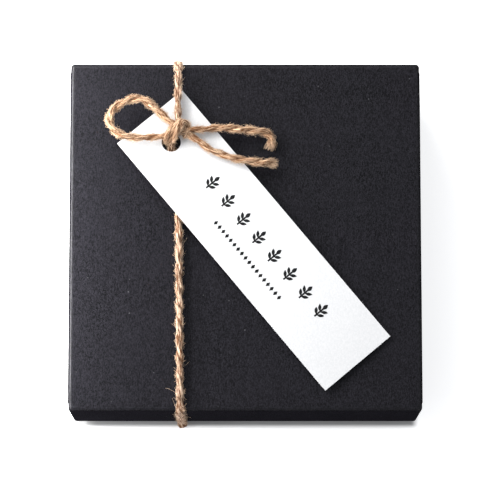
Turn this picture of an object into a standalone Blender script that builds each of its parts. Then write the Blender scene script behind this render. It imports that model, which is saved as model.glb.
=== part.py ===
"""Rigid gift box with a lift-off lid, tied once round with jute twine that carries a card tag.

Metres, +Z up. The origin is on the ground plane under the middle of the box: the box stands on
the twine that runs beneath it. The front of the box faces -Y.
"""

from math import asin, atan2, cos, hypot, pi, radians, sin, tan

import bmesh
import bpy
from mathutils import Matrix, Vector

# Box
BOX_X = 0.110  # outside width of the lid
BOX_Y = 0.110  # outside depth of the lid
LID_Z = 0.033  # outside height of the lid, rim to top
BASE_SHOWS = 0.005  # height of base seen below the lid's rim
BOARD = 0.0015  # grey board
PAPER = 0.00025  # covering paper, linings and bottom sheet
STAY = 0.0002  # corner tape
STAY_LEG = 0.012
TURN_IN = 0.015  # covering paper folded over a rim and down its inside
TURN_UNDER = 0.012  # covering paper folded under the base
SHEET_MARGIN = 0.003  # a pasted sheet stops this far inside the edge it covers
EDGE_ROUND = 0.0008  # folded edges of the covering paper
GAP = 0.0003  # between pieces that touch
LID_SLIP = 0.0005  # running clearance between the lid and the base, each side

# Twine
TWINE = 0.003  # diameter
TWINE_FLAT = 0.0018  # thickness where the box presses it flat
TWINE_FLAT_WIDTH = 0.0042
TWINE_X = -0.021  # where the tie crosses the lid, at the knot and behind it
TWINE_FRONT_X = -0.0202  # where it reaches the front edge
KNOT_X = 0.0084
KNOT_Y = 0.0072
KNOT_Z = 0.0050
KNOT_AHEAD = 0.0031  # the knot sits this far behind the tag's hole
SPLIT_BELOW_TOP = 0.004  # each strand on the lid ends this far below the lid's top

# Tag
TAG_LENGTH = 0.101
TAG_WIDTH = 0.0265
TAG_THICK = 0.0005
TAG_HOLE = 0.006  # diameter
TAG_HOLE_INSET = 0.0105  # from the short edge to the hole's centre
TAG_HOLE_X = -0.02315
TAG_HOLE_Y = 0.0290
TAG_YAW = radians(-50)  # direction of the tag's long axis on the lid
TAG_END_GAP = 0.0006  # between the tag's low corner and the lid
HOLE_SIDES = 32

# Heights
TWINE_R = TWINE / 2
BASE_UNDER = TWINE_FLAT + GAP
RIM = BASE_UNDER + BASE_SHOWS
LID_TOP = RIM + LID_Z
STRAND_Z = LID_TOP + GAP + TWINE_R
LID_UNDER = LID_TOP - 2 * PAPER - BOARD - 2 * GAP

# Layers of a wrapped wall, measured inwards from its outside
STAY_AT = PAPER + GAP
BOARD_AT = STAY_AT + STAY + GAP
TURN_IN_AT = BOARD_AT + BOARD + GAP
WALL = TURN_IN_AT + PAPER

BASE_X = BOX_X - 2 * (WALL + LID_SLIP)
BASE_Y = BOX_Y - 2 * (WALL + LID_SLIP)
BASE_RIM = LID_UNDER - GAP
SHEET_TOP = BASE_UNDER + PAPER
WRAP_UNDER = SHEET_TOP + GAP
FLOOR_UNDER = WRAP_UNDER + PAPER + GAP
FLOOR_TOP = FLOOR_UNDER + BOARD


def start_empty():
    for thing in list(bpy.data.objects):
        bpy.data.objects.remove(thing, do_unlink=True)
    for block in list(bpy.data.collections):
        bpy.data.collections.remove(block)
    group = bpy.data.collections.new("gift_box")
    bpy.context.scene.collection.children.link(group)
    return group


def plain_material(name, colour, roughness):
    material = bpy.data.materials.new(name)
    material.use_nodes = True
    shader = material.node_tree.nodes["Principled BSDF"]
    shader.inputs["Base Color"].default_value = (*colour, 1.0)
    shader.inputs["Roughness"].default_value = roughness
    shader.inputs["Metallic"].default_value = 0.0
    return material


PARTS = start_empty()
BLACK_PAPER = plain_material("black_paper", (0.035, 0.034, 0.038), 0.72)
GREY_BOARD = plain_material("grey_board", (0.36, 0.34, 0.31), 0.85)
KRAFT_TAPE = plain_material("kraft_tape", (0.42, 0.29, 0.17), 0.8)
JUTE = plain_material("jute", (0.56, 0.37, 0.20), 0.9)
WHITE_CARD = plain_material("white_card", (0.88, 0.88, 0.87), 0.6)


def place(name, data, material, parent, location=(0, 0, 0)):
    thing = bpy.data.objects.new(name, data)
    thing.data.materials.append(material)
    thing.location = location
    thing.parent = parent
    PARTS.objects.link(thing)
    return thing


def pivot(name, location=(0, 0, 0)):
    empty = bpy.data.objects.new(name, None)
    empty.location = location
    empty.empty_display_size = 0.01
    PARTS.objects.link(empty)
    return empty


def mesh_from(bm, name):
    mesh = bpy.data.meshes.new(name)
    bm.to_mesh(mesh)
    bm.free()
    return mesh


def block(size):
    """A box of this size about its own middle."""
    bm = bmesh.new()
    bmesh.ops.create_cube(bm, size=1.0)
    bmesh.ops.scale(bm, vec=size, verts=bm.verts)
    return bm


def panel(name, low, high, material, parent):
    """A flat piece of board or paper between two corners."""
    size = [b - a for a, b in zip(low, high)]
    middle = [(a + b) / 2 for a, b in zip(low, high)]
    return place(name, mesh_from(block(size), name), material, parent, middle)


def drop_faces(bm, keep):
    unwanted = [face for face in bm.faces if not keep(face.normal)]
    bmesh.ops.delete(bm, geom=unwanted, context="FACES")


def open_loop(bm, z):
    """The edges of an open end, at this height."""
    return [e for e in bm.edges if e.is_boundary and all(abs(v.co.z - z) < 1e-7 for v in e.verts)]


def fold_on(bm, edges, inset=0.0, rise=0.0):
    """Extends an open edge loop as a folded flap: inwards by inset, then up by rise."""
    grown = bmesh.ops.extrude_edge_only(bm, edges=edges)["geom"]
    for v in [g for g in grown if isinstance(g, bmesh.types.BMVert)]:
        v.co.x -= inset if v.co.x > 0 else -inset
        v.co.y -= inset if v.co.y > 0 else -inset
        v.co.z += rise
    return [g for g in grown if isinstance(g, bmesh.types.BMEdge)]


def thicken(thing, thickness, rounding=0.0):
    """Rounds an open surface's folds, then gives it a wall on the side away from its normals."""
    if rounding:
        bevel = thing.modifiers.new("folded edges", "BEVEL")
        bevel.width = rounding
        bevel.segments = 2
        bevel.limit_method = "ANGLE"
    wall = thing.modifiers.new("wall", "SOLIDIFY")
    wall.thickness = thickness
    wall.offset = -1.0
    wall.use_even_offset = True


def wrap(name, size_x, size_y, low, high, closed_top, parent):
    """Covering paper: walls with rounded corners, folded over the rim and down the inside."""
    bm = block((size_x, size_y, high - low))
    half = (high - low) / 2
    if closed_top:
        drop_faces(bm, lambda n: n.z > -0.5)
        rim = fold_on(bm, open_loop(bm, -half), inset=WALL)
        fold_on(bm, rim, rise=TURN_IN)
    else:
        drop_faces(bm, lambda n: abs(n.z) < 0.5)
        fold_on(bm, open_loop(bm, -half), inset=TURN_UNDER)
        rim = fold_on(bm, open_loop(bm, half), inset=WALL)
        fold_on(bm, rim, rise=-TURN_IN)
    thing = place(name, mesh_from(bm, name), BLACK_PAPER, parent, (0, 0, (low + high) / 2))
    thicken(thing, PAPER, EDGE_ROUND)
    return thing


def corner_stay(name, sign_x, sign_y, size_x, size_y, low, high, parent):
    """Tape folded round one upright corner of the board walls."""
    bm = block((STAY_LEG, STAY_LEG, high - low))
    drop_faces(bm, lambda n: n.x * sign_x > 0.5 or n.y * sign_y > 0.5)
    reach_x = size_x / 2 - STAY_AT - STAY_LEG / 2
    reach_y = size_y / 2 - STAY_AT - STAY_LEG / 2
    where = (sign_x * reach_x, sign_y * reach_y, (low + high) / 2)
    thicken(place(name, mesh_from(bm, name), KRAFT_TAPE, parent, where), STAY)


def board_walls(stem, size_x, size_y, low, high, parent):
    """Front and back walls run the full width, and the side walls stand between them."""
    out_x = size_x / 2 - BOARD_AT
    out_y = size_y / 2 - BOARD_AT
    in_x = out_x - BOARD
    in_y = out_y - BOARD
    side = in_y - GAP
    panel(f"{stem}_front_board", (-out_x, -out_y, low), (out_x, -in_y, high), GREY_BOARD, parent)
    panel(f"{stem}_back_board", (-out_x, in_y, low), (out_x, out_y, high), GREY_BOARD, parent)
    panel(f"{stem}_left_board", (-out_x, -side, low), (-in_x, side, high), GREY_BOARD, parent)
    panel(f"{stem}_right_board", (in_x, -side, low), (out_x, side, high), GREY_BOARD, parent)


def flat_panel(name, size_x, size_y, inset, low, thickness, material, parent):
    reach_x = size_x / 2 - inset
    reach_y = size_y / 2 - inset
    corners = (-reach_x, -reach_y, low), (reach_x, reach_y, low + thickness)
    return panel(name, *corners, material, parent)


def corner_stays(stem, size_x, size_y, low, high, parent):
    corners = (("front_left", -1, -1), ("front_right", 1, -1), ("back_left", -1, 1), ("back_right", 1, 1))
    for where, sign_x, sign_y in corners:
        corner_stay(f"{stem}_stay_{where}", sign_x, sign_y, size_x, size_y, low, high, parent)


def build_base(parent):
    wrap("base_wrap", BASE_X, BASE_Y, WRAP_UNDER, BASE_RIM, False, parent)
    flat_panel("base_floor_board", BASE_X, BASE_Y, BOARD_AT, FLOOR_UNDER, BOARD, GREY_BOARD, parent)
    wall_low = FLOOR_TOP + GAP
    wall_high = BASE_RIM - PAPER - GAP
    board_walls("base", BASE_X, BASE_Y, wall_low, wall_high, parent)
    corner_stays("base", BASE_X, BASE_Y, FLOOR_UNDER + EDGE_ROUND, wall_high, parent)
    lining_inset = BOARD_AT + BOARD + GAP
    flat_panel("base_floor_lining", BASE_X, BASE_Y, lining_inset, wall_low, PAPER, BLACK_PAPER, parent)
    sheet_at = (BASE_X, BASE_Y, SHEET_MARGIN, BASE_UNDER)
    flat_panel("base_bottom_sheet", *sheet_at, PAPER, BLACK_PAPER, parent)


def build_lid(parent):
    wrap("lid_wrap", BOX_X, BOX_Y, RIM, LID_TOP, True, parent)
    board_top = LID_TOP - PAPER - GAP
    wall_high = board_top - BOARD - GAP
    flat_panel("lid_top_board", BOX_X, BOX_Y, BOARD_AT, board_top - BOARD, BOARD, GREY_BOARD, parent)
    board_walls("lid", BOX_X, BOX_Y, RIM + PAPER + GAP, wall_high, parent)
    corner_stays("lid", BOX_X, BOX_Y, RIM + PAPER + GAP, board_top - EDGE_ROUND, parent)
    lining_inset = BOARD_AT + BOARD + GAP
    flat_panel("lid_lining", BOX_X, BOX_Y, lining_inset, wall_high - PAPER, PAPER, BLACK_PAPER, parent)


def smooth_route(points, spacing):
    """Points about this far apart along a Catmull-Rom curve through the given points."""
    knots = [Vector(p) for p in points]
    ends = [2 * knots[0] - knots[1]] + knots + [2 * knots[-1] - knots[-2]]
    route = [knots[0]]
    for a, b, c, d in zip(ends, ends[1:], ends[2:], ends[3:]):
        steps = max(1, round((c - b).length / spacing))
        for i in range(1, steps + 1):
            t = i / steps
            bend = (2 * a - 5 * b + 4 * c - d) * t**2 + (3 * b - a - 3 * c + d) * t**3
            route.append((2 * b + (c - a) * t + bend) / 2)
    return route


def twine(name, points, parent, spacing=1.2 * TWINE):
    """A tube of twine along a smooth route, with capped ends."""
    route = smooth_route(points, spacing)
    curve = bpy.data.curves.new(name, "CURVE")
    curve.dimensions = "3D"
    curve.bevel_depth = TWINE_R
    curve.bevel_resolution = 2
    curve.use_fill_caps = True
    spline = curve.splines.new("POLY")
    spline.points.add(len(route) - 1)
    for point, co in zip(spline.points, route):
        point.co = (*co, 1.0)
    return place(name, curve, JUTE, parent)


# The tag lies on the front strand and slopes down to the lid at its far end.
TAG_UNDER_AT_TWINE = STRAND_Z + TWINE_R + GAP
TAG_FAR_X = (
    TAG_HOLE_X
    + (TAG_LENGTH - TAG_HOLE_INSET) * cos(TAG_YAW)
    - TAG_WIDTH / 2 * sin(TAG_YAW)
)
TAG_TILT = asin((TAG_UNDER_AT_TWINE - LID_TOP - TAG_END_GAP) / (TAG_FAR_X - TWINE_X))


def tag_under(x):
    return TAG_UNDER_AT_TWINE - (x - TWINE_X) * tan(TAG_TILT)


def on_tag(x):
    """Height of a strand's middle where it lies on the tag."""
    return tag_under(x) + TAG_THICK + GAP + TWINE_R


def tie_x(y):
    """The tie runs straight back from the front edge to the knot, a little askew."""
    share = (y + BOX_Y / 2) / (TAG_HOLE_Y + BOX_Y / 2)
    return TWINE_FRONT_X + (TWINE_X - TWINE_FRONT_X) * min(1, max(0, share))


def over_edge(side, depth):
    """A strand's bend over the lid's front (-1) or back (1) edge, and its first stretch down."""
    x = tie_x(side * BOX_Y / 2)
    bend = EDGE_ROUND + GAP + TWINE_R
    centre_y = BOX_Y / 2 - EDGE_ROUND
    centre_z = LID_TOP - EDGE_ROUND
    turns = [i * pi / 8 for i in range(5)]
    arc = [(x, side * (centre_y + bend * sin(a)), centre_z + bend * cos(a)) for a in turns]
    return arc + [(x, side * (centre_y + bend), LID_TOP - depth)]


def build_strands(parent):
    """The two stretches of twine on the lid, each with its bend over the lid's edge."""
    knot_y = TAG_HOLE_Y + KNOT_AHEAD
    clear_of_tag = TAG_HOLE_Y + hypot(TAG_HOLE_INSET, TAG_WIDTH / 2) + GAP
    back = over_edge(1, SPLIT_BELOW_TOP)[::-1] + [
        (TWINE_X, clear_of_tag, on_tag(TWINE_X)),
        (TWINE_X, knot_y + KNOT_Y / 2 + TWINE, on_tag(TWINE_X) + 0.0003),
        (TWINE_X, knot_y + KNOT_Y / 2 + 2 * GAP, on_tag(TWINE_X) + 0.0006),
    ]
    twine("twine_back_strand", back, parent)
    through = tag_under(TAG_HOLE_X)
    front = over_edge(-1, SPLIT_BELOW_TOP)[::-1] + [
        (tie_x(-0.030), -0.030, STRAND_Z),
        (tie_x(-0.005), -0.005, STRAND_Z),
        (TWINE_X, TAG_HOLE_Y - 0.016, STRAND_Z),
        (TWINE_X - 0.001, TAG_HOLE_Y - 0.008, STRAND_Z),
        (TAG_HOLE_X, TAG_HOLE_Y - 0.0022, STRAND_Z + 0.0003),
        (TAG_HOLE_X, TAG_HOLE_Y - 0.0003, through),
        (TAG_HOLE_X, TAG_HOLE_Y, through + TAG_THICK + 0.0010),
    ]
    twine("twine_front_strand", front, parent)


def build_drops(parent):
    """Twine down the front and back walls, in to the foot of the base, and flat beneath it."""
    down_y = BOX_Y / 2 + GAP + TWINE_R
    foot_y = BASE_Y / 2 + GAP + TWINE_R + 0.0010
    foot_z = TWINE_FLAT + 0.0012
    for name, side in (("front", -1), ("back", 1)):
        x = tie_x(side * BOX_Y / 2)
        route = [
            (x, side * down_y, LID_TOP - SPLIT_BELOW_TOP - GAP),
            (x, side * down_y, RIM + LID_Z / 2),
            (x, side * down_y, RIM + 0.004),
            (x, side * down_y, RIM),
            (x, side * foot_y, foot_z),
        ]
        twine(f"twine_{name}_drop", route, parent)
    bm = block((TWINE_FLAT_WIDTH, 2 * (foot_y + TWINE_R / 2), TWINE_FLAT))
    mesh = mesh_from(bm, "twine_under_run")
    middle_x = (TWINE_X + TWINE_FRONT_X) / 2
    under = place("twine_under_run", mesh, JUTE, parent, (middle_x, 0, TWINE_FLAT / 2))
    under.rotation_euler.z = atan2(TWINE_FRONT_X - TWINE_X, BOX_Y)
    bevel = under.modifiers.new("pressed edges", "BEVEL")
    bevel.width = TWINE_FLAT / 3
    bevel.segments = 2


def build_bow(parent):
    """The slip bow: a knot on the tag, one loop to the left and two tails to the right."""
    knot_y = TAG_HOLE_Y + KNOT_AHEAD
    knot_z = tag_under(TWINE_X) + TAG_THICK + 2 * GAP + KNOT_Z / 2
    bm = bmesh.new()
    bmesh.ops.create_uvsphere(bm, u_segments=20, v_segments=12, radius=0.5)
    bmesh.ops.scale(bm, vec=(KNOT_X, KNOT_Y, KNOT_Z), verts=bm.verts)
    knot = place("twine_knot", mesh_from(bm, "twine_knot"), JUTE, parent, (TWINE_X, knot_y, knot_z))
    knot.data.shade_smooth()
    left = TWINE_X - KNOT_X / 2 - 2 * GAP
    right = TWINE_X + KNOT_X / 2 + 3 * GAP
    apart = TWINE_R + GAP
    top = knot_z + 0.0003
    loop = [
        (-0.0243, 0.0352, top),
        (-0.0267, 0.0379, top),
        (-0.0293, 0.0404, top),
        (-0.0323, 0.0421, top),
        (-0.0354, 0.0421, top),
        (-0.0388, 0.0407, top - 0.0001),
        (-0.0416, 0.0384, top - 0.0002),
        (-0.0425, 0.0354, top - 0.0002),
        (-0.0410, 0.0323, top - 0.0001),
        (-0.0380, 0.0305, top),
        (-0.0341, 0.0299, top),
        (-0.0303, 0.0300, top),
        (left, knot_y - apart, top),
    ]
    twine("bow_loop", loop, parent, spacing=0.8 * TWINE)
    upper = [
        (right, knot_y + apart, top - 0.0004),
        (-0.0132, 0.0326, on_tag(-0.0132) + 0.0004),
        (-0.0094, 0.0333, on_tag(-0.0094) + 0.0002),
        (-0.0056, 0.0334, on_tag(-0.0056)),
        (-0.0019, 0.0330, on_tag(-0.0019)),
        (0.0020, 0.0328, on_tag(0.0020) - 0.0004),
        (0.0058, 0.0324, on_tag(0.0058) - 0.0010),
        (0.0083, 0.0309, on_tag(0.0083) - 0.0016),
        (0.0081, 0.0287, on_tag(0.0081) - 0.0021),
    ]
    twine("bow_tail_upper", upper, parent, spacing=0.9 * TWINE)
    lower = [
        (right, knot_y - apart, top - 0.0005),
        (-0.0143, 0.0290, on_tag(-0.0143) + 0.0003),
        (-0.0113, 0.0267, on_tag(-0.0113)),
        (-0.0075, 0.0251, on_tag(-0.0075)),
        (-0.0037, 0.0238, on_tag(-0.0037)),
        (0.0001, 0.0231, on_tag(0.0001)),
        (0.0039, 0.0226, on_tag(0.0039) + 0.0001),
        (0.0084, 0.0225, on_tag(0.0084) - 0.0006),
    ]
    twine("bow_tail_lower", lower, parent, spacing=0.9 * TWINE)


def build_tag(parent):
    """A flat card: a rectangle with a round hole, its own origin at the hole's middle."""
    curve = bpy.data.curves.new("tag_card", "CURVE")
    curve.dimensions = "2D"
    curve.fill_mode = "BOTH"
    curve.extrude = TAG_THICK / 2
    near = -TAG_HOLE_INSET
    far = TAG_LENGTH - TAG_HOLE_INSET
    half = TAG_WIDTH / 2
    turns = [2 * pi * i / HOLE_SIDES for i in range(HOLE_SIDES)]
    hole = [(TAG_HOLE / 2 * cos(a), TAG_HOLE / 2 * sin(a)) for a in turns]
    for outline in ([(near, -half), (far, -half), (far, half), (near, half)], hole):
        spline = curve.splines.new("POLY")
        spline.points.add(len(outline) - 1)
        for point, (x, y) in zip(spline.points, outline):
            point.co = (x, y, 0, 1)
        spline.use_cyclic_u = True
    place("tag_card", curve, WHITE_CARD, parent, (0, 0, TAG_THICK / 2))


def tag_pivot():
    """The tag turns about the middle of its hole, in its own sloping plane."""
    where = (TAG_HOLE_X, TAG_HOLE_Y, tag_under(TAG_HOLE_X))
    empty = pivot("tag_pivot", where)
    turn = Matrix.Rotation(TAG_TILT, 4, "Y") @ Matrix.Rotation(TAG_YAW, 4, "Z")
    empty.rotation_euler = turn.to_euler()
    return empty


def build():
    base = pivot("base")
    lid = pivot("lid")
    build_base(base)
    build_lid(lid)
    build_strands(lid)
    build_drops(base)
    build_bow(lid)
    build_tag(tag_pivot())


build()
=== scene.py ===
"""Looks for the gift box: black paper over board, a jute tie with a slip bow, and a white card tag."""

from math import cos, pi, radians, sin, tan

import bmesh
import bpy
import numpy as np
from mathutils import Matrix, Vector, noise


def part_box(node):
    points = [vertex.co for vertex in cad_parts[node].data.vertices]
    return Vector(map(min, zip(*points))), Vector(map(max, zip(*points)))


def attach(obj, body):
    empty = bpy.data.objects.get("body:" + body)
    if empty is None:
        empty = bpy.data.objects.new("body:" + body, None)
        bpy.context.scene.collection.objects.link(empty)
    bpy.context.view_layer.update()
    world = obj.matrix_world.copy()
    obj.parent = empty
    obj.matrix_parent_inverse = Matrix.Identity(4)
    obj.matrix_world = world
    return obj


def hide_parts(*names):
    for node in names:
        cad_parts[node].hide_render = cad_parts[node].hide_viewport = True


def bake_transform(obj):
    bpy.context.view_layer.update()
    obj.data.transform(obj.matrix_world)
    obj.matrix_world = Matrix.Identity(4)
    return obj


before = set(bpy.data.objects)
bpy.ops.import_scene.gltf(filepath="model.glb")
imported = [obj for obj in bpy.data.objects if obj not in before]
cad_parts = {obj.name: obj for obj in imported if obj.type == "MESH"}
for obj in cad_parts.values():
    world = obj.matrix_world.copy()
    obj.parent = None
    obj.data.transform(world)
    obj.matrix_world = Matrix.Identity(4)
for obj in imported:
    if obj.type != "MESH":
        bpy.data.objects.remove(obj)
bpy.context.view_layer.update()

MM = 0.001


# ---------------------------------------------------------------- sizes, in metres

lid_low, lid_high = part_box("lid_wrap")
base_low, base_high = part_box("base_wrap")

LID_HALF_X = lid_high[0]
LID_HALF_Y = lid_high[1]
LID_TOP = lid_high[2]
RIM = lid_low[2]

PAPER = 0.25 * MM
WALL = 3.1 * MM  # from the outer paper face to the inner one
TURN_IN = 15 * MM
TURN_UNDER = 12 * MM
FOLD = 1.25 * MM  # rounding of a folded edge
UPRIGHT = 1.1 * MM  # rounding of the upright corners

TWINE_R = 1.5 * MM
STRAND_Z = 41.9 * MM
TWINE_X = -21.0 * MM
TWINE_FRONT_X = -20.2 * MM
BEND = 2.6 * MM  # the tie's bend over a lid edge, at its middle
BEND_Y = 54.2 * MM
BEND_Z = 39.3 * MM
DOWN_Y = 56.8 * MM
UNDER_Z = 0.9 * MM
TIE_MIDDLE_X = (TWINE_X + TWINE_FRONT_X) / 2

# The tie is drawn tight over the lid's edges and walls, and the box stands on it.
PRESSED = 0.40  # share of its height that it keeps on the edges and walls
TIGHT_FROM = 50.5 * MM  # how far from the box's middle the tightness begins
TIGHT_OVER = 4 * MM
TIGHT_SPREAD = 0.2
FLAT_FROM = 54.5 * MM
FLAT_OVER = 3 * MM
FLAT_BELOW = 6 * MM
FLAT_SPREAD = 0.4
FLAT_SHARE = 0.6
FLAT_HALF = 0.88 * MM
CLEAR_OF_FLOOR = 0.02 * MM

TAG_LENGTH = 101 * MM
TAG_WIDTH = 26.5 * MM
TAG_THICK = 0.5 * MM
TAG_HOLE = 6.0 * MM
TAG_HOLE_INSET = 10.5 * MM
TAG_HOLE_AT = (-23.15 * MM, 29.0 * MM)
TAG_YAW = radians(-50)
TAG_TILT = radians(2.598)
TAG_UNDER_AT_TWINE = 43.7 * MM

INK_THICK = 0.02 * MM
SPRIGS = 8
SPRIG_STEP = 7.5 * MM
SPRIGS_FROM = 28.6 * MM  # from the tag's near end
LOZENGES = 18
LOZENGE_STEP = 1.8 * MM
LOZENGES_FROM = 39 * MM

PAINTED_SHADOW_Y = 50 * MM  # middle of the painted shadow on the floor, forward of the box's middle


# ---------------------------------------------------------------- camera, floor and lights


def look_at(thing, target):
    thing.rotation_euler = (Vector(target) - thing.location).to_track_quat("-Z", "Y").to_euler()


def build_camera():
    """Almost straight above the lid, leaning a little to the front."""
    lean = radians(8.9)
    distance = 0.95
    seen_width = 150.2 * MM
    target = Vector((-1.6 * MM, -1.3 * MM, LID_TOP))
    data = bpy.data.cameras.new("camera")
    data.sensor_width = 36
    data.lens = data.sensor_width * distance / seen_width
    data.clip_start = 0.01
    camera = bpy.data.objects.new("camera", data)
    camera.location = target + distance * Vector((0, -sin(lean), cos(lean)))
    bpy.context.collection.objects.link(camera)
    look_at(camera, target)
    bpy.context.scene.camera = camera


def area_light(name, location, target, size, power, colour=(1, 1, 1)):
    data = bpy.data.lights.new(name, "AREA")
    data.shape = "RECTANGLE"
    data.size, data.size_y = size
    data.energy = power
    data.color = colour
    lamp = bpy.data.objects.new(name, data)
    lamp.location = location
    lamp.visible_camera = False
    bpy.context.collection.objects.link(lamp)
    look_at(lamp, target)


def build_studio():
    """A bright tent, darker towards its foot, with soft lights on the left."""
    scene = bpy.context.scene
    scene.view_settings.view_transform = "Standard"
    world = bpy.data.worlds.new("studio")
    world.use_nodes = True
    tree = world.node_tree
    height = add(tree, "ShaderNodeSeparateXYZ",
                 {"Vector": tree.nodes.new("ShaderNodeTexCoord").outputs["Generated"]}).outputs["Z"]
    glow = mix(tree, ramp(tree, height, 0.0, 0.9), (0.10, 0.10, 0.11, 1), (0.60, 0.62, 0.65, 1))
    feed(tree, tree.nodes["Background"].inputs["Color"], glow)
    scene.world = world
    middle = (0, 0, 0.03)
    area_light("key", (-0.26, 0.36, 0.42), middle, (0.42, 0.42), 3.3, (1.0, 0.985, 0.97))
    area_light("left_strip", (-0.20, 0.05, 0.20), (-0.03, 0.0, 0.04), (0.30, 0.05), 0.9)
    area_light("left_low", (-0.50, 0.0, 0.10), (-0.05, 0.0, 0.035), (0.50, 0.06), 1.6)
    area_light("left_edge", (-0.084, 0.015, 0.066), (-0.080, 0.015, 0.0), (0.16, 0.012), 0.30)


def build_floor():
    """A white floor that glows, with a narrow painted shadow darkening it where the box's front stands on
    it.
    """
    bm = bmesh.new()
    bmesh.ops.create_grid(bm, x_segments=2, y_segments=2, size=3.0)
    mesh = bpy.data.meshes.new("floor")
    bm.to_mesh(mesh)
    bm.free()
    floor = bpy.data.objects.new("floor", mesh)
    bpy.context.collection.objects.link(floor)
    material = bpy.data.materials.new("studio_floor")
    material.use_nodes = True
    tree = material.node_tree
    shader = tree.nodes["Principled BSDF"]
    shader.inputs["Roughness"].default_value = 0.9
    shader.inputs["Emission Color"].default_value = (1, 1, 1, 1)
    place = add(tree, "ShaderNodeTexCoord").outputs["Object"]
    apart = add(tree, "ShaderNodeSeparateXYZ", {"Vector": place}).outputs
    off_front = calc(tree, "ABSOLUTE", calc(tree, "ADD", apart["Y"], PAINTED_SHADOW_Y))
    off_middle = calc(tree, "ABSOLUTE", apart["X"])
    # Painted shadow: in a narrow band in front of the box, the floor's colour and glow are darkened.
    painted_shadow = calc(tree, "MULTIPLY", ramp(tree, off_front, 7.0 * MM, 5.0 * MM),
                 ramp(tree, off_middle, 56.5 * MM, 53.5 * MM))
    feed(tree, shader.inputs["Base Color"], mix(tree, painted_shadow, (0.85, 0.85, 0.85, 1), (0.28, 0.28, 0.28, 1)))
    glow = calc(tree, "SUBTRACT", 0.66, calc(tree, "MULTIPLY", painted_shadow, 0.60))
    feed(tree, shader.inputs["Emission Strength"], glow)
    mesh.materials.append(material)


# ---------------------------------------------------------------- node helpers


def socket_of(sockets, name):
    """The usable socket of this name, since some nodes keep one for each data type."""
    return next(s for s in sockets if s.name == name and s.enabled)


def feed(tree, socket, value):
    if isinstance(value, bpy.types.NodeSocket):
        tree.links.new(value, socket)
    else:
        socket.default_value = value


def add(tree, kind, inputs=None, **settings):
    """A new node with these settings, its named inputs linked or set."""
    node = tree.nodes.new(kind)
    for name, value in settings.items():
        setattr(node, name, value)
    for name, value in (inputs or {}).items():
        feed(tree, socket_of(node.inputs, name), value)
    return node


def calc(tree, operation, *values, clamp=False):
    node = tree.nodes.new("ShaderNodeMath")
    node.operation = operation
    node.use_clamp = clamp
    for socket, value in zip(node.inputs, values):
        feed(tree, socket, value)
    return node.outputs[0]


def vector_calc(tree, operation, *values, scale=None):
    node = tree.nodes.new("ShaderNodeVectorMath")
    node.operation = operation
    for socket, value in zip(node.inputs, values):
        feed(tree, socket, value)
    if scale is not None:
        feed(tree, node.inputs["Scale"], scale)
    return node.outputs["Value" if operation in ("LENGTH", "DISTANCE", "DOT_PRODUCT") else "Vector"]


def vector_of(tree, x=0.0, y=0.0, z=0.0):
    return add(tree, "ShaderNodeCombineXYZ", {"X": x, "Y": y, "Z": z}).outputs[0]


def mottle(tree, place, scale=1.0, detail=2.0):
    """Even noise over the place, between 0 and 1."""
    inputs = {"Vector": place, "Scale": scale, "Detail": detail}
    return add(tree, "ShaderNodeTexNoise", inputs).outputs[0]


def ramp(tree, value, low, high):
    """0 below low, 1 above high, smooth between; high may be the lower of the two."""
    node = add(tree, "ShaderNodeMapRange", {"Value": value}, interpolation_type="SMOOTHSTEP")
    node.inputs["From Min"].default_value = low
    node.inputs["From Max"].default_value = high
    return node.outputs["Result"]


def group(name, kind, inputs, outputs):
    """An empty node group with these sockets, and its two end nodes."""
    tree = bpy.data.node_groups.new(name, kind)
    for socket, shape, value in inputs:
        made = tree.interface.new_socket(socket, in_out="INPUT", socket_type=shape)
        if value is not None:
            made.default_value = value
    for socket, shape in outputs:
        tree.interface.new_socket(socket, in_out="OUTPUT", socket_type=shape)
    return tree, tree.nodes.new("NodeGroupInput").outputs, tree.nodes.new("NodeGroupOutput")


def place_group(tree, content, inputs):
    node = tree.nodes.new("ShaderNodeGroup")
    node.node_tree = content
    for name, value in inputs.items():
        feed(tree, node.inputs[name], value)
    return node.outputs


# ---------------------------------------------------------------- shared effects


def fibre_grain_group():
    """The fine mottled grain of pressed fibres, with a slight run along one direction."""
    tree, given, end = group(
        "fibre grain",
        "ShaderNodeTree",
        [("Place", "NodeSocketVector", None), ("Grain Size", "NodeSocketFloat", 0.4 * MM),
         ("Run", "NodeSocketFloat", 2.5)],
        [("Fibres", "NodeSocketFloat"), ("Clouds", "NodeSocketFloat"), ("Height", "NodeSocketFloat")],
    )
    scale = calc(tree, "DIVIDE", 1.0, given["Grain Size"])
    stretch = vector_of(tree, 1.0, calc(tree, "DIVIDE", 1.0, given["Run"]), 1.0)
    along = vector_calc(tree, "MULTIPLY", given["Place"], stretch)
    run = mottle(tree, along, scale, 3.0)
    even = mottle(tree, given["Place"], scale)
    mixed = calc(tree, "MULTIPLY", calc(tree, "ADD", run, even), 0.5)
    feed(tree, end.inputs["Fibres"], ramp(tree, mixed, 0.36, 0.66))
    feed(tree, end.inputs["Clouds"], ramp(tree, mottle(tree, given["Place"], 75.0, 3.0), 0.3, 0.7))
    feed(tree, end.inputs["Height"], mixed)
    return tree


def specks_group():
    """Small pale flecks, sparse and of uneven strength."""
    tree, given, end = group(
        "flecks",
        "ShaderNodeTree",
        [("Place", "NodeSocketVector", None), ("Spacing", "NodeSocketFloat", 6 * MM),
         ("Fleck Size", "NodeSocketFloat", 0.03)],
        [("Mask", "NodeSocketFloat")],
    )
    scale = calc(tree, "DIVIDE", 1.0, given["Spacing"])
    cells = add(tree, "ShaderNodeTexVoronoi", {"Vector": given["Place"], "Scale": scale})
    near = calc(tree, "SUBTRACT", 1.0, calc(tree, "DIVIDE", cells.outputs["Distance"], given["Fleck Size"]),
                clamp=True)
    chosen = add(tree, "ShaderNodeSeparateColor", {"Color": cells.outputs["Color"]}).outputs[0]
    feed(tree, end.inputs["Mask"], calc(tree, "MULTIPLY", near, ramp(tree, chosen, 0.35, 0.9)))
    return tree


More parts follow.
